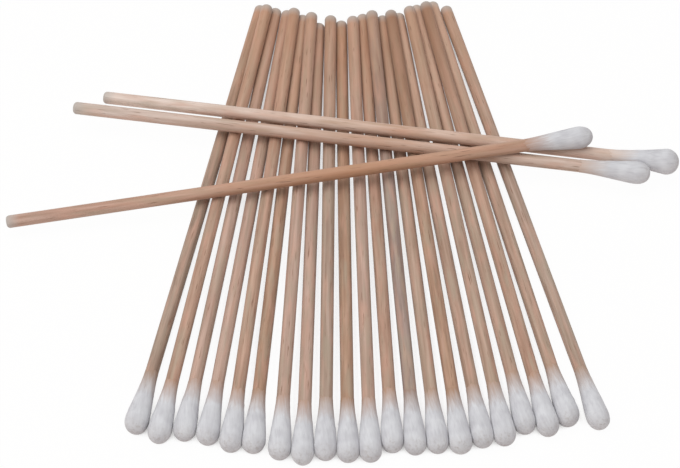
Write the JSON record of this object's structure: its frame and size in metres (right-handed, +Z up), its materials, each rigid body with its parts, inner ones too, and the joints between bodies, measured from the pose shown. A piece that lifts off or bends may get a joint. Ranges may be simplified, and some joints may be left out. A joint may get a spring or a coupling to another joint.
{
  "type": "set of cotton swabs",
  "caption": "Single-tipped cotton swabs on wooden sticks, spread side by side in a fan with buds in front, and a few more laid across them.",
  "frame": {"origin": "middle of the footprint, on the table that the swabs lie on", "axes": "+X to the right of someone who faces the buds, +Y from the buds to the plain ends, +Z up"},
  "size_m": [0.1704, 0.1576, 0.0132],
  "materials": {
    "stick": "bare pale wood, matt; the species, perhaps birch, is a guess",
    "cotton": "wound cotton fibre, matt"
  },
  "bodies": {
    "root": {"stick_01": "stick", "bud_01": "cotton", "stick_02": "stick", "bud_02": "cotton", "stick_03": "stick", "bud_03": "cotton", "stick_04": "stick", "bud_04": "cotton", "stick_05": "stick", "bud_05": "cotton", "stick_06": "stick", "bud_06": "cotton", "stick_07": "stick", "bud_07": "cotton", "stick_08": "stick", "bud_08": "cotton", "stick_09": "stick", "bud_09": "cotton", "stick_10": "stick", "bud_10": "cotton", "stick_11": "stick", "bud_11": "cotton", "stick_12": "stick", "bud_12": "cotton", "stick_13": "stick", "bud_13": "cotton", "stick_14": "stick", "bud_14": "cotton", "stick_15": "stick", "bud_15": "cotton", "stick_16": "stick", "bud_16": "cotton", "stick_17": "stick", "bud_17": "cotton", "stick_18": "stick", "bud_18": "cotton", "stick_19": "stick", "bud_19": "cotton", "stick_20": "stick", "bud_20": "cotton", "stick_21": "stick", "bud_21": "cotton", "stick_22": "stick", "bud_22": "cotton", "stick_23": "stick", "bud_23": "cotton", "stick_24": "stick", "bud_24": "cotton"}
  },
  "joints": []
}
